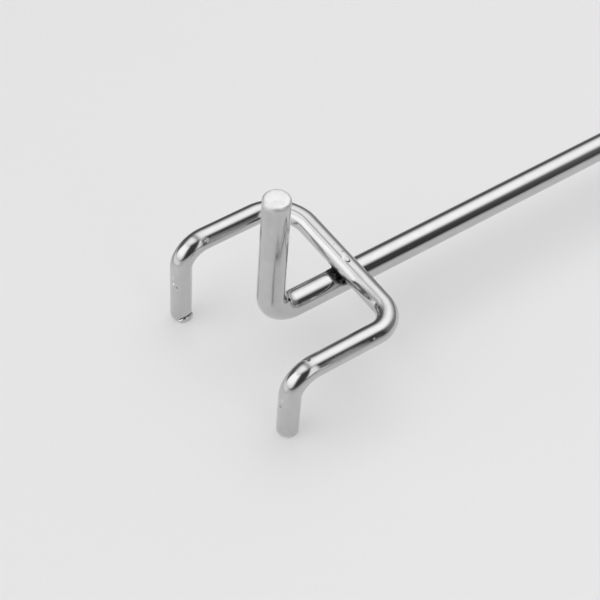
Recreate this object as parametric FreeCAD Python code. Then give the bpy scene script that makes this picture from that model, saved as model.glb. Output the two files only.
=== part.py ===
"""Twin-prong display hook made of two round wires welded crosswise.

The hook is modelled as it hangs on a perforated board. The origin lies in the
board's front face, midway between the prongs and level with the two holes.
+X points out of the board along the arm, +Y to the right as seen by someone
who faces the board, and +Z up. Lengths are in millimetres.
"""
import math
import os

import FreeCAD
import Part

# Wires
arm_wire_diameter = 7.4
back_wire_diameter = 6.0

# Board that the hook hangs on
prong_pitch = 50.8
board_thickness = 3.2
board_clearance = 0.2

# Back wire: heights run from the side runs' axis to the middle of the prongs' cut ends
left_prong_height = 26.6
left_prong_end_slant = 13.5
right_prong_height = 22.1
prong_bend_radius = 7.2
left_corner_radius = 10.8
right_corner_radius = 7.1

# Arm wire: the leg's length runs from the arm's axis to the cut end
leg_to_cross_wire = 23.5
leg_length = 44.3
leg_bend_radius = 7.9
arm_off_centre = 1.5
reach = 150.0
tip_angle = 45.0
tip_bend_radius = 11.0

# Cut ends
leg_end_rounding = 1.0
left_prong_end_rounding = 0.6
right_prong_end_rounding = 0.9
tip_end_rounding = 1.2

# Weld: how far the wires are pressed together, and how far its rim stands off them
weld_set_down = 0.4
weld_rim = 0.5

# Places that follow from the sizes above
arm_radius = arm_wire_diameter / 2
back_radius = back_wire_diameter / 2
leg_x = arm_radius
cross_wire_x = leg_x + leg_to_cross_wire
prong_x = -(board_thickness + board_clearance + back_radius)
prong_y = prong_pitch / 2
arm_z = back_radius + arm_radius - weld_set_down
left_prong_slope = math.radians(left_prong_end_slant)


def swept_wire(corners, bend_radii, diameter):
    """Round wire along straight runs, with every corner between them bent to its radius."""
    edges = []
    run_start = corners[0]
    for corner, following, bend_radius in zip(corners[1:-1], corners[2:], bend_radii):
        incoming = (corner - run_start).normalize()
        outgoing = (following - corner).normalize()
        turn = incoming.getAngle(outgoing)
        setback = bend_radius * math.tan(turn / 2)
        bend_start = corner - incoming * setback
        bend_end = corner + outgoing * setback
        inward = (outgoing - incoming).normalize()
        bend_middle = corner + inward * (bend_radius / math.cos(turn / 2) - bend_radius)
        edges.append(Part.LineSegment(run_start, bend_start).toShape())
        edges.append(Part.Arc(bend_start, bend_middle, bend_end).toShape())
        run_start = bend_end
    edges.append(Part.LineSegment(run_start, corners[-1]).toShape())
    direction = corners[1] - corners[0]
    section = Part.Wire(Part.Circle(corners[0], direction, diameter / 2).toShape())
    return Part.Wire(edges).makePipe(Part.Face(section))


def round_cut_end(wire, end, rounding):
    """Round the rim of the wire's cut end that is centred on the given point."""
    rims = [edge for edge in wire.Edges if edge.CenterOfMass.distanceToPoint(end) < 1e-3]
    return wire.makeFillet(rounding, rims)


def cut_at_slant(wire, end, slope, long_side):
    """Cut an upright wire through the given point of its axis, with the long side facing one way."""
    normal = FreeCAD.Vector(0, 0, math.cos(slope)) - long_side * math.sin(slope)
    waste = Part.makeCylinder(back_wire_diameter, 2 * back_wire_diameter, end, normal)
    return wire.cut(waste)


def end_overhang(radius, rounding, angle):
    """How far a rounded wire end reaches past its centre, at an angle to the wire's axis."""
    across = (radius - rounding) * math.sin(angle)
    along = -rounding * math.cos(angle)
    return across + along + rounding


def slanted_end_rise(radius, rounding, slope):
    """How far the long side of a wire's rounded, slanted end stands above its middle."""
    return (radius - rounding) * math.tan(slope) - rounding / math.cos(slope) + rounding


def make_back_wire():
    """U-shaped wire: a prong, a side run, the cross wire, a side run and the other prong."""
    left_end = FreeCAD.Vector(prong_x, -prong_y, left_prong_height)
    stock_left_to_cut = FreeCAD.Vector(0, 0, back_wire_diameter)
    corners = [
        left_end + stock_left_to_cut,
        FreeCAD.Vector(prong_x, -prong_y, 0),
        FreeCAD.Vector(cross_wire_x, -prong_y, 0),
        FreeCAD.Vector(cross_wire_x, prong_y, 0),
        FreeCAD.Vector(prong_x, prong_y, 0),
        FreeCAD.Vector(prong_x, prong_y, right_prong_height),
    ]
    bends = [prong_bend_radius, left_corner_radius, right_corner_radius, prong_bend_radius]
    wire = swept_wire(corners, bends, back_wire_diameter)
    inward = FreeCAD.Vector(0, 1, 0)
    wire = cut_at_slant(wire, left_end, left_prong_slope, inward)
    wire = round_cut_end(wire, left_end, left_prong_end_rounding)
    return round_cut_end(wire, corners[-1], right_prong_end_rounding)


def make_arm_wire():
    """Leg, arm and upturned tip. The tip ends as high as the prongs do on average."""
    left_end_rise = slanted_end_rise(back_radius, left_prong_end_rounding, left_prong_slope)
    left_prong_top = left_prong_height + left_end_rise
    prongs_mean_top = (left_prong_top + right_prong_height) / 2
    tip_slope = math.radians(tip_angle)
    tip_x = reach - end_overhang(arm_radius, tip_end_rounding, tip_slope)
    tip_z = prongs_mean_top - end_overhang(arm_radius, tip_end_rounding, math.pi / 2 - tip_slope)
    tip_corner_x = tip_x - (tip_z - arm_z) / math.tan(tip_slope)
    corners = [
        FreeCAD.Vector(leg_x, arm_off_centre, arm_z - leg_length),
        FreeCAD.Vector(leg_x, arm_off_centre, arm_z),
        FreeCAD.Vector(tip_corner_x, arm_off_centre, arm_z),
        FreeCAD.Vector(tip_x, arm_off_centre, tip_z),
    ]
    wire = swept_wire(corners, [leg_bend_radius, tip_bend_radius], arm_wire_diameter)
    wire = round_cut_end(wire, corners[0], leg_end_rounding)
    return round_cut_end(wire, corners[-1], tip_end_rounding)


def make_weld(arm_wire, back_wire):
    """Metal squeezed out round the contact, held between the undersides of both wires."""
    arm_skin = arm_radius + weld_rim
    back_skin = back_radius + weld_rim
    crossing = FreeCAD.Vector(cross_wire_x, arm_off_centre, 0)
    along_arm = FreeCAD.Vector(1, 0, 0)
    along_cross_wire = FreeCAD.Vector(0, 1, 0)
    arm_start = crossing - along_arm * 2 * back_skin + FreeCAD.Vector(0, 0, arm_z)
    cross_start = crossing - along_cross_wire * 2 * arm_skin
    round_arm = Part.makeCylinder(arm_skin, 4 * back_skin, arm_start, along_arm)
    round_cross_wire = Part.makeCylinder(back_skin, 4 * arm_skin, cross_start, along_cross_wire)
    return round_arm.common(round_cross_wire).cut(arm_wire).cut(back_wire)


back_wire = make_back_wire()
arm_wire = make_arm_wire().cut(back_wire)
weld = make_weld(arm_wire, back_wire)

os.makedirs("parts", exist_ok=True)
arm_wire.exportStep("parts/arm_wire.step")
back_wire.exportStep("parts/back_wire.step")
weld.exportStep("parts/weld.step")
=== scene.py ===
import math
from typing import NamedTuple

import bpy
from mathutils import Matrix, Vector


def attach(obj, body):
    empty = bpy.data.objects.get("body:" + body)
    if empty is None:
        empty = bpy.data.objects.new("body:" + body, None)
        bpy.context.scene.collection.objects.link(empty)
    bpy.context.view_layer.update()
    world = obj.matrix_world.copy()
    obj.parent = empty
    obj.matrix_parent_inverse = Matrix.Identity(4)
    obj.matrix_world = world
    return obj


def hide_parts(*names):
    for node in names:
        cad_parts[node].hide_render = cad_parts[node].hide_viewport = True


# The hook is shown as the photograph has it: lying upside down on a table, on its two prong tips and
# its upturned tip, seen by a camera held level above the table. The part's frame has +Z up as the
# hook hangs in use, so the table's plane lies over it and faces down. Table places are given in
# the table's own frame: origin under the crossing of the wires, X along the arm, Y away from the
# camera and Z up from the table. Sizes and places are in millimetres until they reach Blender.
MM = 0.001

# Wires, with the same sizes as the solid parts
ARM_RADIUS = 3.7
BACK_RADIUS = 3.0
PRONG_PITCH = 50.8
BOARD_GAP = 3.4
LEFT_PRONG_HEIGHT = 26.6
LEFT_PRONG_SLANT = math.radians(13.5)
RIGHT_PRONG_HEIGHT = 22.1
PRONG_BEND_RADIUS = 7.2
LEFT_CORNER_RADIUS = 10.8
RIGHT_CORNER_RADIUS = 7.1
LEG_TO_CROSS_WIRE = 23.5
LEG_LENGTH = 44.3
LEG_BEND_RADIUS = 7.9
ARM_OFF_CENTRE = 1.5
REACH = 150.0
TIP_ANGLE = math.radians(45)
TIP_BEND_RADIUS = 11.0
LEG_END_ROUNDING = 1.0
LEFT_PRONG_END_ROUNDING = 0.6
RIGHT_PRONG_END_ROUNDING = 0.9
TIP_END_ROUNDING = 1.2
WELD_SET_DOWN = 0.4

LEG_X = ARM_RADIUS
CROSS_WIRE_X = LEG_X + LEG_TO_CROSS_WIRE
PRONG_X = -(BOARD_GAP + BACK_RADIUS)
PRONG_Y = PRONG_PITCH / 2
ARM_Z = BACK_RADIUS + ARM_RADIUS - WELD_SET_DOWN
LEFT_PRONG_RISE = math.tan(LEFT_PRONG_SLANT)
LEFT_END_FLAT = BACK_RADIUS - LEFT_PRONG_END_ROUNDING
RIGHT_END_FLAT = BACK_RADIUS - RIGHT_PRONG_END_ROUNDING
LEFT_PRONG_TOP = LEFT_PRONG_HEIGHT + LEFT_END_FLAT * LEFT_PRONG_RISE
PRONGS_MEAN_TOP = (LEFT_PRONG_TOP + RIGHT_PRONG_HEIGHT) / 2

# Mesh fineness
SEGMENTS_ROUND = 120
RUN_STEP = 0.4
BEND_STEP = math.radians(2.5)
ROUNDING_STEPS = 8
END_FACE_RINGS = (0.75, 0.5, 0.25)
FINE_END = 6.0
FINE_STEP = 0.15

# Left prong's torn lip: the shears met at a slant, and what lies past the tear stands out of the round
# wire. The tear's height goes round the prong as a wave, lowest where it faces LIP_FACING.
TEAR_HEIGHT = 27.8
TEAR_WAVE = 2.8
LIP_FACING = math.radians(83)
LIP_HALF_TURN = math.radians(60)
LIP_FULL_HALF_TURN = LIP_HALF_TURN * 0.7
LIP_STANDS_OUT = 0.3
TEAR_DEPTH = 0.3
TEAR_HALF_WIDTH = 0.32

# Raw cut ends: bare steel starts RAW_END_REACH before a wire's last full ring and is full RAW_END_FULL
# past it. The face's outermost RAW_RIM_WIDTH is its rim, which is RAW_RIM_SHARE as bare as the rest.
RAW_END_REACH = 0.7
RAW_END_FULL = 0.1
RAW_RIM_WIDTH = 0.3
RAW_RIM_SHARE = 0.5

# Weld's burn and painted shade: plating blackened round the place where the wires meet, a little towards
# the leg, partly as the weld's burn and partly as painted shade of the crevice between the wires
BURN_AND_SHADE_TOWARDS_LEG = 0.6
BURN_AND_SHADE_CENTRE = Vector((CROSS_WIRE_X - BURN_AND_SHADE_TOWARDS_LEG, ARM_OFF_CENTRE, BACK_RADIUS))
BURN_AND_SHADE_RADIUS = 5.2
BURN_AND_SHADE_FADE = 2.3


class End(NamedTuple):
    """Cut end of a wire: its rim's rounding, and how it rises for each mm towards its long side."""
    rounding: float
    rise: Vector = Vector((0, 0, 0))


class Station(NamedTuple):
    """Place on a wire's axis, and how far into a bend it is, from 0 to 1."""
    centre: Vector
    direction: Vector
    bend: float = 0.0


class Ring(NamedTuple):
    """Ring of mesh points round a wire: side points to the first of them, along is its place on the
    straight wire, and lean is its rise for each mm towards its long side."""
    centre: Vector
    direction: Vector
    side: Vector
    radius: float
    along: float
    lean: Vector
    bend: float


class Mark(NamedTuple):
    """Small dent or ridge: its place in turns round the wire and in mm along it, half its size and its
    height in mm, and the share of its half size that is flat."""
    turn: float
    along: float
    half_width: float
    half_length: float
    height: float
    flat: float = 0.0


class Finish(NamedTuple):
    """Look of a wire's plating: the least and most haze, what a bend adds to it, scuffs whose height is the
    haze they add, dents and ridges, and flecks whose height is the grey that the plating has there."""
    haze: tuple
    bend_haze: float
    scuffs: tuple
    marks: tuple
    flecks: tuple


class Grain(NamedTuple):
    """Fine pattern of the plating: how often it varies per mm, both ways across the wire and along it, and
    how many finer layers it has."""
    per_mm: tuple
    detail: float


ARM_FINISH = Finish(
    haze=(0.03, 0.07), bend_haze=0.0,
    scuffs=(
        Mark(0.42, 16.0, 9.0, 26.0, 0.16, 0.5),       # rubbed leg
    ),
    marks=(
        Mark(0.872, 132.8, 0.25, 2.4, -0.015),        # scratch along the arm
    ),
    flecks=(
        Mark(0.190, 16.2, 0.5, 1.8, 0.32),            # darker patch on the leg
    ))
BACK_FINISH = Finish(
    haze=(0.06, 0.12), bend_haze=0.03,
    scuffs=(
        Mark(0.20, 92.0, 1.6, 12.0, 0.16, 0.5),       # cross wire's inner side
        Mark(0.965, 119.0, 1.3, 11.0, 0.22, 0.3),     # right run's outer side
    ),
    marks=(
        Mark(0.140, 80.1, 1.0, 1.6, -0.20, 0.45),     # welding electrode's dent
        Mark(0.109, 77.6, 0.35, 0.5, 0.08),           # metal raised at the dent's rim
        Mark(0.130, 73.9, 0.35, 0.5, -0.06),          # pit on the cross wire
        Mark(0.175, 13.8, 0.55, 0.45, 0.25),          # burr and two nicks on the left prong
        Mark(0.228, 13.1, 0.45, 0.45, -0.20),
        Mark(0.234, 11.7, 0.5, 0.35, -0.12),
        Mark(0.257, 29.2, 0.5, 0.9, -0.12),           # bending tool's spot on the left bend
        Mark(0.980, 109.8, 0.55, 1.0, -0.03),         # pit on the right run
        Mark(0.966, 125.2, 0.5, 3.4, 0.08),           # bending tool's ridge before the right bend
        Mark(0.117, 139.8, 0.35, 0.35, -0.15),        # nick on the right prong
    ),
    flecks=(
        Mark(0.168, 14.4, 0.5, 0.5, 0.98, 0.3),       # bare metal and painted glint round the left prong's burr
        Mark(0.158, 16.8, 0.45, 1.8, 0.72),
        Mark(0.215, 12.3, 0.5, 0.35, 0.75),
        Mark(0.222, 13.5, 0.4, 0.4, 0.12, 0.2),       # painted shade in its nick
        Mark(0.117, 139.8, 0.5, 0.35, 0.06, 0.3),     # painted shade in the right prong's nick
        Mark(0.092, 137.2, 0.6, 1.0, 0.72),           # bare metal beside it
    ))

# Plating's patterns, and the stretch of a pattern's values over which it acts
LINES = Grain((5.0, 5.0, 0.06), 3.0)
RIPPLES = Grain((0.7, 0.7, 0.05), 2.0)
CLOUDS = Grain((0.45, 0.45, 0.30), 5.0)
PITS = Grain((3.5, 3.5, 3.0), 2.0)
SOOT = Grain((1.4, 1.4, 1.4), 4.0)
CLOUD_STRETCH = (0.3, 0.7)
PIT_STRETCH = (0.25, 0.36)
SOOT_STRETCH = (0.44, 0.68)

# Plating's grey, roughness and relief in mm, from where a pattern is lowest to where it is highest
PLATE_GREY = (0.60, 0.56)
RAW_GREY = (0.80, 0.94)
RAW_RIM_ROUGHNESS = (0.40, 0.54)
RAW_FACE_ROUGHNESS = (0.18, 0.30)
RAW_METALLIC = 0.35
# The char's grey blackens the weld's burn and is also painted shade round the crossing and in the tear
CHAR_AND_SHADE_GREY = (0.01, 0.24)
CHAR_ROUGHNESS = (0.35, 0.60)
LINE_RELIEF = (-0.001, 0.001)
RIPPLE_RELIEF = (-0.005, 0.005)
PIT_RELIEF = (-0.004, 0.0)
RAW_RELIEF = (-0.02, 0.02)
CHAR_RELIEF = (-0.05, 0.05)

# Ragged edge of the weld's burn and painted shade: what the soot pattern adds to their mask, the stretch
# over which the sum turns to char and painted shade, and how much of the mask there has to be for any
CHAR_SPREAD = (-0.35, 0.35)
CHAR_STRETCH = (0.30, 0.72)
CHAR_LEAST_BURN = (0.0, 0.25)

# Weld bead, blackened both as burnt metal and as painted shade in the crevice where the wires meet
BEAD_SCALES_PER_METRE = 1800.0
BEAD_DETAIL = 4.0
BEAD_GREY = (0.02, 0.10)
BEAD_ROUGHNESS = (0.35, 0.65)
BEAD_RELIEF = 0.1
BEAD_RELIEF_SHARE = 0.4

# Camera, in the table's frame
CAMERA_AZIMUTH = math.radians(-125.30)
CAMERA_ELEVATION = math.radians(45.40)
CAMERA_ROLL = math.radians(-0.17)
CAMERA_DISTANCE = 472.42
CAMERA_AIM = Vector((-3.42, 11.13, 0))
CAMERA_LENS = 101.58
CAMERA_SENSOR = 36.0
CAMERA_CLIP_START = 10.0

# Table
TABLE_SIZE = 1600
TABLE_GREY = 0.86
TABLE_ROUGHNESS = 0.35
TABLE_LIFT = 0.3
TABLE_LIFT_GREY = 0.90
FIBRES_PER_METRE = 900.0
FIBRE_DETAIL = 3.0
FIBRE_RELIEF = 0.05
FIBRE_RELIEF_SHARE = 0.02

# Far parts of the table as the wires mirror them. Away from the arm's line the lit board gives way to an
# even shade. It is darker on the far side than on the near side, and darkest on the near side past the
# leg. A broad patch past the leg glows. Levels are strengths of light.
SHADE_START = (35, 160)
SHADE_FAR_SIDE = (-20, 20)
SHADE_PAST_LEG = (-90, -30)
SHADE_LEVEL_PAST_LEG = 0.10
SHADE_LEVEL_NEAR = 0.42
SHADE_LEVEL_FAR = 0.22
GLOW_PAST_LEG = (-70, -140)
GLOW_NEAR_EDGE = (-100, 0)
GLOW_LEVEL = 1.05

# Surroundings by direction, in the table's frame: x is a direction's share along the arm, y its share away
# from the camera and z its share upward. An edge runs from dark to light.
BACKDROP_GREY = 0.79
LEAST_SHARE = 0.02

# Ceiling of two panels: its near and far edges and the near edge's slant in y / z, the seam's place
# and edges in x / z, and its foot in z
CEILING_LIGHT = 1.24
CEILING_NEAR_EDGE = (-1.0, -0.22)
CEILING_NEAR_SLANT = 0.35
CEILING_FAR_EDGE = (1.85, 0.2)
CEILING_FOOT = (0.2, 0.93)
SEAM_PLACE = -0.13
SEAM_EDGES = (0.0, 0.22)
SEAM_LEVEL = 0.35

# Bright wall past the leg: its near and far edges in y / -x, its foot and top in z, and its start in -x
WALL_LIGHT = 1.42
WALL_FOOT = (-0.35, 0.35)
WALL_TOP = (0.86, 0.66)
WALL_START = (0.15, 0.45)
WALL_NEAR_EDGE = (-0.95, -0.3)
WALL_FAR_EDGE = (1.4, 0.75)

# Dim wall past the tip: its near and far edges in y / x, and its start in x
END_WALL_LIGHT = 0.2
END_WALL_START = (0.1, 0.6)
END_WALL_NEAR_EDGE = (-1.7, -0.5)
END_WALL_FAR_EDGE = (1.5, 0.5)

# Narrow bright strip on the camera's side: its left and right edges in x / -y, its top in z and its
# start in y
STRIP_LIGHT = 1.1
STRIP_START = (0.0, -0.2)
STRIP_LEFT_EDGE = (-0.20, 0.0)
STRIP_RIGHT_EDGE = (0.52, 0.20)
STRIP_TOP = (0.88, 0.68)

# Dusk that fills the rest, a little lighter away from the camera
DUSK_EDGE = (-0.6, 0.3)
DUSK_LIGHT = (0.06, 0.13)


def table_frame():
    """Matrix from the table's frame to the part's, both in metres. The table leans in the part's frame,
    because the prongs differ in length."""
    left_touch = -PRONG_Y + LEFT_END_FLAT
    right_touch = PRONG_Y + RIGHT_END_FLAT
    slope = (LEFT_PRONG_TOP - RIGHT_PRONG_HEIGHT) / (right_touch - left_touch)
    up = Vector((0, -slope, -1)).normalized()
    along = Vector((1, 0, 0))
    away = up.cross(along)
    origin = Vector((CROSS_WIRE_X, 0, RIGHT_PRONG_HEIGHT + slope * right_touch)) * MM
    return Matrix.Translation(origin) @ Matrix((along, away, up)).transposed().to_4x4()


def end_overhang(radius, rounding, angle):
    """How far a rounded wire end reaches past its centre, at an angle to the wire's axis."""
    return (radius - rounding) * math.sin(angle) - rounding * math.cos(angle) + rounding


def bent_path(corners, bend_radii):
    """Stations along straight runs with every corner between them bent to its radius."""
    stations = []
    start = corners[0]

    def add_run(end):
        length = (end - start).length
        direction = (end - start).normalized()
        count = max(2, round(length / RUN_STEP))
        for i in range(count + 1):
            stations.append(Station(start.lerp(end, i / count), direction))

    for corner, following, radius in zip(corners[1:-1], corners[2:], bend_radii):
        incoming = (corner - start).normalized()
        outgoing = (following - corner).normalized()
        turn = incoming.angle(outgoing)
        setback = radius * math.tan(turn / 2)
        bend_start = corner - incoming * setback
        add_run(bend_start)
        stations.pop()
        inward = (outgoing - incoming * incoming.dot(outgoing)).normalized()
        centre = bend_start + inward * radius
        count = round(turn / BEND_STEP)
        for i in range(count):
            angle = turn * i / count
            spoke = -inward * math.cos(angle) + incoming * math.sin(angle)
            direction = incoming * math.cos(angle) + inward * math.sin(angle)
            stations.append(Station(centre + spoke * radius, direction, math.sin(math.pi * i / count)))
        start = corner + outgoing * setback
    add_run(corners[-1])
    return stations


def finer_start(stations):
    """The same stations with those of the first millimetres set closer together."""
    first, direction, _ = stations[0]
    count = round(FINE_END / FINE_STEP)
    fine = [Station(first + direction * FINE_END * i / count, direction) for i in range(count)]
    return fine + [station for station in stations if (station.centre - first).length >= FINE_END]


def end_profile(radius, rounding):
    """Rings that close a cut end: (ring radius, distance past the last full ring)."""
    profile = []
    for i in range(1, ROUNDING_STEPS + 1):
        angle = math.pi / 2 * i / ROUNDING_STEPS
        profile.append((radius - rounding + rounding * math.cos(angle), rounding * math.sin(angle)))
    flat = radius - rounding
    return profile + [(flat * share, rounding) for share in END_FACE_RINGS]


def smooth(value, start, end):
    """0 at start, 1 at end and a soft rise between them."""
    share = min(max((value - start) / (end - start), 0.0), 1.0)
    return share * share * (3 - 2 * share)


def torn_lip(point, spoke):
    """How far the left prong's skin stands out at a point near its end, and how much painted shade darkens
    the tear there.
    """
    if point.y > 0 or point.x > 0 or point.z < LEFT_PRONG_HEIGHT - FINE_END:
        return 0.0, 0.0
    swing = math.atan2(spoke.y, spoke.x) - LIP_FACING
    past_tear = point.z - (TEAR_HEIGHT - TEAR_WAVE * math.cos(swing))
    torn = smooth(abs(swing), LIP_HALF_TURN, LIP_FULL_HALF_TURN)
    in_tear = torn * smooth(abs(past_tear), TEAR_HALF_WIDTH, 0.0)
    lip = torn * smooth(past_tear, 0.0, TEAR_HALF_WIDTH)
    # The second value is the painted shade that darkens the tear's groove
    return lip * LIP_STANDS_OUT - in_tear * TEAR_DEPTH, in_tear


def wire_rings(stations, radius, ends):
    """Rings from end to end of a wire with both cut ends closed, and its length between them."""
    start_end, last_end = ends
    stations = list(stations)
    first, last = stations[0], stations[-1]
    while (stations[1].centre - first.centre).length < start_end.rounding:
        stations.pop(1)
    while (stations[-2].centre - last.centre).length < last_end.rounding:
        stations.pop(-2)
    stations[0] = Station(first.centre + first.direction * start_end.rounding, first.direction)
    stations[-1] = Station(last.centre - last.direction * last_end.rounding, last.direction)
    side = first.direction.orthogonal().normalized()
    rings = []
    along = 0.0
    previous = stations[0].centre
    for centre, direction, bend in stations:
        side = (side - direction * side.dot(direction)).normalized()
        along += (centre - previous).length
        previous = centre
        lean = start_end.rise * -smooth(along, FINE_END, 0.0)
        rings.append(Ring(centre, direction, side.copy(), radius, along, lean, bend))
    start, finish = rings[0], rings[-1]
    head = [start._replace(centre=start.centre - start.direction * out, radius=narrowed, along=-out)
            for narrowed, out in reversed(end_profile(radius, start_end.rounding))]
    tail = [finish._replace(centre=finish.centre + finish.direction * out, radius=narrowed,
                            along=along + out, lean=last_end.rise)
            for narrowed, out in end_profile(radius, last_end.rounding)]
    return head + rings + tail, along


def wire_mesh(name, stations, radius, ends, material):
    """Round wire through the stations with both cut ends closed. Each point of its skin knows its place on
    the straight wire, how bent and how bare the wire is there, and how much burn and painted shade darken
    it."""
    rings, length = wire_rings(stations, radius, ends)
    vertices, unbent, bends, cuts, burns_and_shade = [], [], [], [], []

    def add_point(point, place, bend, cut, tear_shade):
        # The weld's burn and painted shade round the crossing of the wires
        burn_and_shade = smooth((point - BURN_AND_SHADE_CENTRE).length, BURN_AND_SHADE_RADIUS, BURN_AND_SHADE_RADIUS - BURN_AND_SHADE_FADE)
        vertices.append(point * MM)
        unbent.extend(place)
        bends.append(bend)
        cuts.append(cut)
        burns_and_shade.append(max(tear_shade, burn_and_shade))

    for centre, direction, side, reach, along, lean, bend in rings:
        other = direction.cross(side)
        bare = smooth(max(-along, along - length), -RAW_END_REACH, RAW_END_FULL)
        cut = bare * (RAW_RIM_SHARE if reach > radius - RAW_RIM_WIDTH else 1.0)
        for j in range(SEGMENTS_ROUND):
            angle = 2 * math.pi * j / SEGMENTS_ROUND
            spoke = side * math.cos(angle) + other * math.sin(angle)
            point = centre + spoke * reach + direction * (spoke.dot(lean) * reach)
            # The tear's groove gets painted shade as well as its dent
            push, tear_shade = torn_lip(point, spoke)
            place = (reach * math.cos(angle), reach * math.sin(angle), along)
            add_point(point + spoke * (push * reach / radius), place, bend, cut, tear_shade)
    faces = []
    for i in range(len(rings) - 1):
        near, far = i * SEGMENTS_ROUND, (i + 1) * SEGMENTS_ROUND
        for j in range(SEGMENTS_ROUND):
            k = (j + 1) % SEGMENTS_ROUND
            faces.append((near + j, near + k, far + k, far + j))
    for i, outward in ((0, False), (len(rings) - 1, True)):
        base = i * SEGMENTS_ROUND
        middle = len(vertices)
        add_point(rings[i].centre, (0.0, 0.0, rings[i].along), 0.0, 1.0, 0.0)
        for j in range(SEGMENTS_ROUND):
            k = (j + 1) % SEGMENTS_ROUND
            faces.append((base + j, base + k, middle) if outward else (base + k, base + j, middle))
    mesh = bpy.data.meshes.new(name)
    mesh.from_pydata(vertices, [], faces)
    mesh.attributes.new("unbent", "FLOAT_VECTOR", "POINT").data.foreach_set("vector", unbent)
    for title, values in (("bend", bends), ("cut", cuts), ("burn_and_shade", burns_and_shade)):
        mesh.attributes.new(title, "FLOAT", "POINT").data.foreach_set("value", values)
    mesh.shade_smooth()
    mesh.materials.append(material)
    piece = bpy.data.objects.new(name, mesh)
    bpy.context.scene.collection.objects.link(piece)
    return piece


def plain(grey):
    """A grey as a colour."""
    return (grey, grey, grey, 1)


def in_metres(values):
    """The same places in metres."""
    return [value * MM for value in values]


class Nodes:
    """Short way to write the node tree of a material or a world."""

    def __init__(self, owner):
        self.owner = owner
        owner.use_nodes = True
        self.tree = owner.node_tree
        self.tree.nodes.clear()

    def add(self, kind, inputs=None, **settings):
        node = self.tree.nodes.new(kind)
        for key, value in settings.items():
            setattr(node, key, value)
        for key, value in (inputs or {}).items():
            if isinstance(value, bpy.types.NodeSocket):
                self.tree.links.new(value, node.inputs[key])
            else:
                node.inputs[key].default_value = value
        return node

    def math(self, operation, first, second=0.0):
        return self.add("ShaderNodeMath", {0: first, 1: second}, operation=operation).outputs["Value"]

    def joined(self, operation, values):
        """The values joined by one operation, from the first to the last."""
        result = values[0]
        for value in values[1:]:
            result = self.math(operation, result, value)
        return result

    def total(self, *values):
        return self.joined("ADD", values)

    def product(self, *values):
        return self.joined("MULTIPLY", values)

    def vector(self, operation, first, second=(0, 0, 0), result="Vector"):
        return self.add("ShaderNodeVectorMath", {0: first, 1: second}, operation=operation).outputs[result]

    def ramp(self, value, start, end, low=0.0, high=1.0, kind="SMOOTHSTEP"):
        """Soft change from low where the value is start to high where it is end."""
        ends = {"Value": value, "From Min": start, "From Max": end, "To Min": low, "To Max": high}
        return self.add("ShaderNodeMapRange", ends, interpolation_type=kind).outputs["Result"]

    def blend(self, share, low, high, start=0.0, end=1.0):
        """Straight change from low where the share is start to high where it is end."""
        return self.ramp(share, start, end, low, high, "LINEAR")

    def noise(self, place, scale, detail):
        look = {"Vector": place, "Scale": scale, "Detail": detail}
        return self.add("ShaderNodeTexNoise", look).outputs["Fac"]

    def bump(self, height, strength, distance):
        relief = {"Height": height, "Strength": strength, "Distance": distance}
        return self.add("ShaderNodeBump", relief).outputs["Normal"]

    def mix(self, share, first, second):
        return self.add("ShaderNodeMixShader", {0: share, 1: first, 2: second}).outputs["Shader"]

    def show(self, kind, shader):
        """Close the tree with its output node."""
        self.add(kind, {"Surface": shader})
        return self.owner


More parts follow.
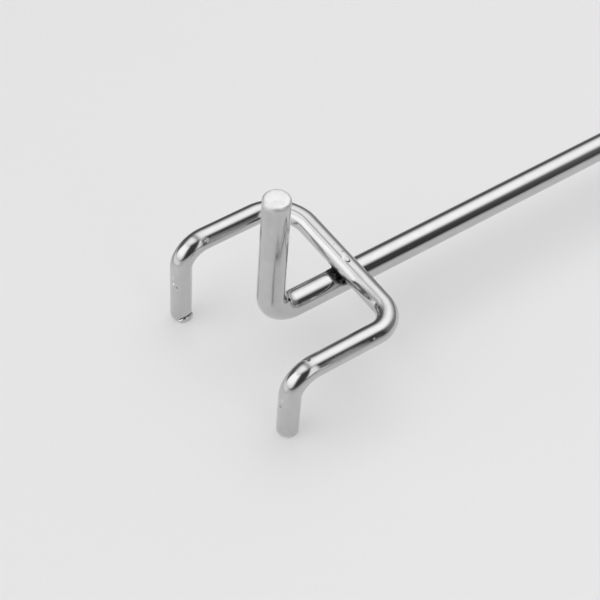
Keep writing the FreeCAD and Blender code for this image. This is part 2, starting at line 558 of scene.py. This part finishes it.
def plating(name, radius, finish):
    """Chrome plate over drawn wire: faint lines along it, haze, pits and marks, raw cut ends, and the char
    of the weld's burn together with painted shade round the crossing of the wires and in the left prong's
    tear."""
    nodes = Nodes(bpy.data.materials.new(name))
    unbent = nodes.add("ShaderNodeAttribute", attribute_name="unbent").outputs["Vector"]
    # Burn and painted shade, from the wires' crossing and from the tear, come as one mask
    bend, cut, burn_and_shade = (nodes.add("ShaderNodeAttribute", attribute_name=title).outputs["Fac"]
                       for title in ("bend", "cut", "burn_and_shade"))

    def spot(mark):
        turn = 2 * math.pi * mark.turn
        centre = (radius * math.cos(turn), radius * math.sin(turn), mark.along)
        shares = (1 / mark.half_width, 1 / mark.half_width, 1 / mark.half_length)
        away = nodes.vector("MULTIPLY", nodes.vector("SUBTRACT", unbent, centre), shares)
        far = nodes.vector("LENGTH", away, result="Value")
        return nodes.ramp(far, 1.0, mark.flat, 0.0, mark.height)

    lines, ripples, clouds, pits, soot = (
        nodes.noise(nodes.vector("MULTIPLY", unbent, grain.per_mm), 1.0, grain.detail)
        for grain in (LINES, RIPPLES, CLOUDS, PITS, SOOT))
    # Char of the weld's burn and painted shade, with a ragged edge
    ragged = nodes.blend(nodes.total(burn_and_shade, nodes.blend(soot, *CHAR_SPREAD)), 0.0, 1.0, *CHAR_STRETCH)
    charred_and_shaded = nodes.product(ragged, nodes.blend(burn_and_shade, 0.0, 1.0, *CHAR_LEAST_BURN))

    rough = nodes.total(nodes.blend(clouds, *finish.haze, *CLOUD_STRETCH),
                        nodes.blend(bend, 0.0, finish.bend_haze),
                        *[spot(scuff) for scuff in finish.scuffs])
    rough = nodes.blend(cut, rough, nodes.blend(pits, *RAW_RIM_ROUGHNESS), 0.0, RAW_RIM_SHARE)
    rough = nodes.blend(cut, rough, nodes.blend(pits, *RAW_FACE_ROUGHNESS), RAW_RIM_SHARE, 1.0)
    rough = nodes.blend(charred_and_shaded, rough, nodes.blend(pits, *CHAR_ROUGHNESS))

    grey = nodes.blend(clouds, *PLATE_GREY, *CLOUD_STRETCH)
    for fleck in finish.flecks:
        grey = nodes.blend(spot(fleck._replace(height=1.0)), grey, fleck.height)
    grey = nodes.blend(cut, grey, nodes.blend(clouds, *RAW_GREY, *CLOUD_STRETCH))
    # Char and painted shade blacken the plating
    grey = nodes.blend(charred_and_shaded, grey, nodes.blend(soot, *CHAR_AND_SHADE_GREY, *SOOT_STRETCH))

    height = nodes.total(nodes.blend(lines, *LINE_RELIEF),
                         nodes.blend(ripples, *RIPPLE_RELIEF),
                         nodes.blend(pits, *PIT_RELIEF, *PIT_STRETCH),
                         nodes.product(cut, nodes.blend(pits, *RAW_RELIEF)),
                         nodes.product(charred_and_shaded, nodes.blend(pits, *CHAR_RELIEF)),
                         *[spot(mark) for mark in finish.marks])
    shader = nodes.add("ShaderNodeBsdfPrincipled", {
        "Base Color": grey, "Metallic": nodes.blend(cut, 1.0, RAW_METALLIC), "Roughness": rough,
        "Normal": nodes.bump(height, 1.0, MM)})
    return nodes.show("ShaderNodeOutputMaterial", shader.outputs["BSDF"])


def weld_bead():
    """Scaly metal of the weld, blackened both as burnt metal and as painted shade in the crevice where the
    wires meet.
    """
    nodes = Nodes(bpy.data.materials.new("weld_bead"))
    place = nodes.add("ShaderNodeTexCoord").outputs["Object"]
    scales = nodes.noise(place, BEAD_SCALES_PER_METRE, BEAD_DETAIL)
    shader = nodes.add("ShaderNodeBsdfPrincipled", {
        "Base Color": nodes.blend(scales, *BEAD_GREY), "Metallic": 1.0,
        "Roughness": nodes.blend(scales, *BEAD_ROUGHNESS),
        "Normal": nodes.bump(scales, BEAD_RELIEF_SHARE, BEAD_RELIEF * MM)})
    return nodes.show("ShaderNodeOutputMaterial", shader.outputs["BSDF"])


def add_camera(table):
    """Camera held level over the table, aimed at a point on it, with a slight roll."""
    out = Vector((math.cos(CAMERA_ELEVATION) * math.cos(CAMERA_AZIMUTH),
                  math.cos(CAMERA_ELEVATION) * math.sin(CAMERA_AZIMUTH), math.sin(CAMERA_ELEVATION)))
    right = Vector((0, 0, 1)).cross(out).normalized()
    up = out.cross(right)
    turn = Matrix((right, up, out)).transposed() @ Matrix.Rotation(CAMERA_ROLL, 3, "Z")
    place = Matrix.Translation((CAMERA_AIM + out * CAMERA_DISTANCE) * MM) @ turn.to_4x4()
    data = bpy.data.cameras.new("camera")
    data.lens = CAMERA_LENS
    data.sensor_width = CAMERA_SENSOR
    data.clip_start = CAMERA_CLIP_START * MM
    camera = bpy.data.objects.new("camera", data)
    camera.matrix_world = table @ place
    bpy.context.scene.collection.objects.link(camera)
    bpy.context.scene.camera = camera


def table_board():
    """Satin white board, a little lifted so that it shows as pale as its backdrop. Its back is clear to the
    camera, so that views from behind the table see the hook."""
    nodes = Nodes(bpy.data.materials.new("table_board"))
    ray = nodes.add("ShaderNodeLightPath").outputs
    place = nodes.add("ShaderNodeTexCoord").outputs["Object"]
    fibres = nodes.noise(place, FIBRES_PER_METRE, FIBRE_DETAIL)
    board = nodes.add("ShaderNodeBsdfPrincipled", {
        "Base Color": plain(TABLE_GREY), "Roughness": TABLE_ROUGHNESS,
        "Normal": nodes.bump(fibres, FIBRE_RELIEF_SHARE, FIBRE_RELIEF * MM)})
    lift = nodes.add("ShaderNodeEmission", {"Color": plain(TABLE_LIFT_GREY)})
    mirrored = nodes.math("MAXIMUM", ray["Is Glossy Ray"], ray["Is Transmission Ray"])
    shown = nodes.math("MAXIMUM", ray["Is Camera Ray"], mirrored)
    lifted = nodes.mix(nodes.product(shown, TABLE_LIFT), board.outputs["BSDF"], lift.outputs["Emission"])

    along, away, _ = nodes.add("ShaderNodeSeparateXYZ", {"Vector": place}).outputs
    shade = nodes.ramp(nodes.math("ABSOLUTE", away), *in_metres(SHADE_START))
    glow = nodes.product(nodes.ramp(along, *in_metres(GLOW_PAST_LEG)),
                         nodes.ramp(away, *in_metres(GLOW_NEAR_EDGE)))
    near_level = nodes.ramp(along, *in_metres(SHADE_PAST_LEG), SHADE_LEVEL_PAST_LEG, SHADE_LEVEL_NEAR)
    side_level = nodes.ramp(away, *in_metres(SHADE_FAR_SIDE), near_level, SHADE_LEVEL_FAR)
    level = nodes.ramp(glow, 0.0, 1.0, side_level, GLOW_LEVEL)
    distant = nodes.add("ShaderNodeEmission", {"Strength": level})
    far_mirrored = nodes.product(nodes.math("MAXIMUM", shade, glow), ray["Is Glossy Ray"])
    seen = nodes.mix(far_mirrored, lifted, distant.outputs["Emission"])

    clear = nodes.add("ShaderNodeBsdfTransparent")
    backfacing = nodes.add("ShaderNodeNewGeometry").outputs["Backfacing"]
    from_behind = nodes.product(backfacing, ray["Is Camera Ray"])
    return nodes.show("ShaderNodeOutputMaterial", nodes.mix(from_behind, seen, clear.outputs["BSDF"]))


def add_table(table):
    """Table top under the lying hook, facing it."""
    half = TABLE_SIZE / 2 * MM
    corners = [(-half, -half, 0), (half, -half, 0), (half, half, 0), (-half, half, 0)]
    mesh = bpy.data.meshes.new("table_top")
    mesh.from_pydata(corners, [], [(0, 1, 2, 3)])
    mesh.materials.append(table_board())
    top = bpy.data.objects.new("table_top", mesh)
    top.matrix_world = table
    bpy.context.scene.collection.objects.link(top)


def ceiling_light(nodes, x, y, z):
    """Soft bright ceiling in two panels, dim at the seam between them."""
    height = nodes.math("MAXIMUM", z, LEAST_SHARE)
    across = nodes.math("DIVIDE", y, height)
    sideways = nodes.math("DIVIDE", x, height)
    slant = nodes.product(nodes.math("MINIMUM", sideways, 0.0), CEILING_NEAR_SLANT)
    from_seam = nodes.math("ABSOLUTE", nodes.math("SUBTRACT", sideways, SEAM_PLACE))
    far_or_low = nodes.math("MINIMUM", nodes.ramp(across, *CEILING_FAR_EDGE), nodes.ramp(z, *CEILING_FOOT))
    return nodes.product(far_or_low, nodes.ramp(nodes.total(across, slant), *CEILING_NEAR_EDGE),
                         nodes.ramp(from_seam, *SEAM_EDGES, SEAM_LEVEL), CEILING_LIGHT)


def wall_light(nodes, x, y, z):
    """Bright wall past the leg."""
    leftward = nodes.math("MAXIMUM", nodes.product(x, -1.0), LEAST_SHARE)
    swing = nodes.math("DIVIDE", y, leftward)
    foot_to_top = nodes.math("MINIMUM", nodes.ramp(z, *WALL_FOOT), nodes.ramp(z, *WALL_TOP))
    return nodes.product(foot_to_top, nodes.ramp(leftward, *WALL_START), nodes.ramp(swing, *WALL_NEAR_EDGE),
                         nodes.ramp(swing, *WALL_FAR_EDGE), WALL_LIGHT)


def end_wall_light(nodes, x, y):
    """Dim wall past the tip."""
    swing = nodes.math("DIVIDE", y, nodes.math("MAXIMUM", x, LEAST_SHARE))
    return nodes.product(nodes.ramp(swing, *END_WALL_NEAR_EDGE), nodes.ramp(swing, *END_WALL_FAR_EDGE),
                         nodes.ramp(x, *END_WALL_START), END_WALL_LIGHT)


def strip_light(nodes, x, y, z):
    """Narrow bright strip on the camera's side."""
    swing = nodes.math("DIVIDE", x, nodes.math("MAXIMUM", nodes.product(y, -1.0), LEAST_SHARE))
    return nodes.product(nodes.ramp(swing, *STRIP_LEFT_EDGE), nodes.ramp(swing, *STRIP_RIGHT_EDGE),
                         nodes.ramp(z, *STRIP_TOP), nodes.ramp(y, *STRIP_START), STRIP_LIGHT)


def add_room(table):
    """Surroundings that light the hook and that the wires mirror. What the camera sees past the table is a
    plain pale backdrop."""
    world = bpy.data.worlds.new("room")
    bpy.context.scene.world = world
    nodes = Nodes(world)
    direction = nodes.add("ShaderNodeTexCoord").outputs["Generated"]
    x, y, z = (nodes.vector("DOT_PRODUCT", direction, tuple(axis.normalized()), "Value")
               for axis in table.to_3x3().col)
    light = nodes.total(nodes.math("MAXIMUM", ceiling_light(nodes, x, y, z), wall_light(nodes, x, y, z)),
                        strip_light(nodes, x, y, z), end_wall_light(nodes, x, y),
                        nodes.ramp(y, *DUSK_EDGE, *DUSK_LIGHT))
    room = nodes.add("ShaderNodeBackground", {"Color": plain(1.0), "Strength": light})
    backdrop = nodes.add("ShaderNodeBackground", {"Color": plain(BACKDROP_GREY)})
    from_camera = nodes.add("ShaderNodeLightPath").outputs["Is Camera Ray"]
    seen = nodes.mix(from_camera, room.outputs["Background"], backdrop.outputs["Background"])
    nodes.show("ShaderNodeOutputWorld", seen)


def back_wire():
    """U-shaped wire with both ends turned up as prongs."""
    corners = [Vector((PRONG_X, -PRONG_Y, LEFT_PRONG_HEIGHT)), Vector((PRONG_X, -PRONG_Y, 0)),
               Vector((CROSS_WIRE_X, -PRONG_Y, 0)), Vector((CROSS_WIRE_X, PRONG_Y, 0)),
               Vector((PRONG_X, PRONG_Y, 0)), Vector((PRONG_X, PRONG_Y, RIGHT_PRONG_HEIGHT))]
    bends = [PRONG_BEND_RADIUS, LEFT_CORNER_RADIUS, RIGHT_CORNER_RADIUS, PRONG_BEND_RADIUS]
    ends = (End(LEFT_PRONG_END_ROUNDING, Vector((0, LEFT_PRONG_RISE, 0))), End(RIGHT_PRONG_END_ROUNDING))
    stations = finer_start(bent_path(corners, bends))
    material = plating("back_wire_plate", BACK_RADIUS, BACK_FINISH)
    return wire_mesh("back_wire_plated", stations, BACK_RADIUS, ends, material)


def arm_wire():
    """Leg, arm and upturned tip."""
    tip_x = REACH - end_overhang(ARM_RADIUS, TIP_END_ROUNDING, TIP_ANGLE)
    tip_z = PRONGS_MEAN_TOP - end_overhang(ARM_RADIUS, TIP_END_ROUNDING, math.pi / 2 - TIP_ANGLE)
    tip_corner_x = tip_x - (tip_z - ARM_Z) / math.tan(TIP_ANGLE)
    corners = [Vector((LEG_X, ARM_OFF_CENTRE, ARM_Z - LEG_LENGTH)), Vector((LEG_X, ARM_OFF_CENTRE, ARM_Z)),
               Vector((tip_corner_x, ARM_OFF_CENTRE, ARM_Z)), Vector((tip_x, ARM_OFF_CENTRE, tip_z))]
    stations = bent_path(corners, [LEG_BEND_RADIUS, TIP_BEND_RADIUS])
    material = plating("arm_wire_plate", ARM_RADIUS, ARM_FINISH)
    ends = (End(LEG_END_ROUNDING), End(TIP_END_ROUNDING))
    return wire_mesh("arm_wire_plated", stations, ARM_RADIUS, ends, material)


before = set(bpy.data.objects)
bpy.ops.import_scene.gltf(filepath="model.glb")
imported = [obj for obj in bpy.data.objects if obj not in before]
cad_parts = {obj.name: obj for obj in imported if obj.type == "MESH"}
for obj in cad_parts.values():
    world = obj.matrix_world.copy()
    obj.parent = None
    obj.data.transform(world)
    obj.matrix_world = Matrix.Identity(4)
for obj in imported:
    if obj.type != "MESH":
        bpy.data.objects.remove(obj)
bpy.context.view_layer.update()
bpy.context.scene.view_settings.view_transform = "Standard"

table = table_frame()
for piece, node in ((back_wire(), "back_wire"), (arm_wire(), "arm_wire")):
    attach(piece, "root")
    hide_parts(node)
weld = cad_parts["weld"]
weld.data.materials.clear()
weld.data.materials.append(weld_bead())

add_table(table)
add_room(table)
add_camera(table)
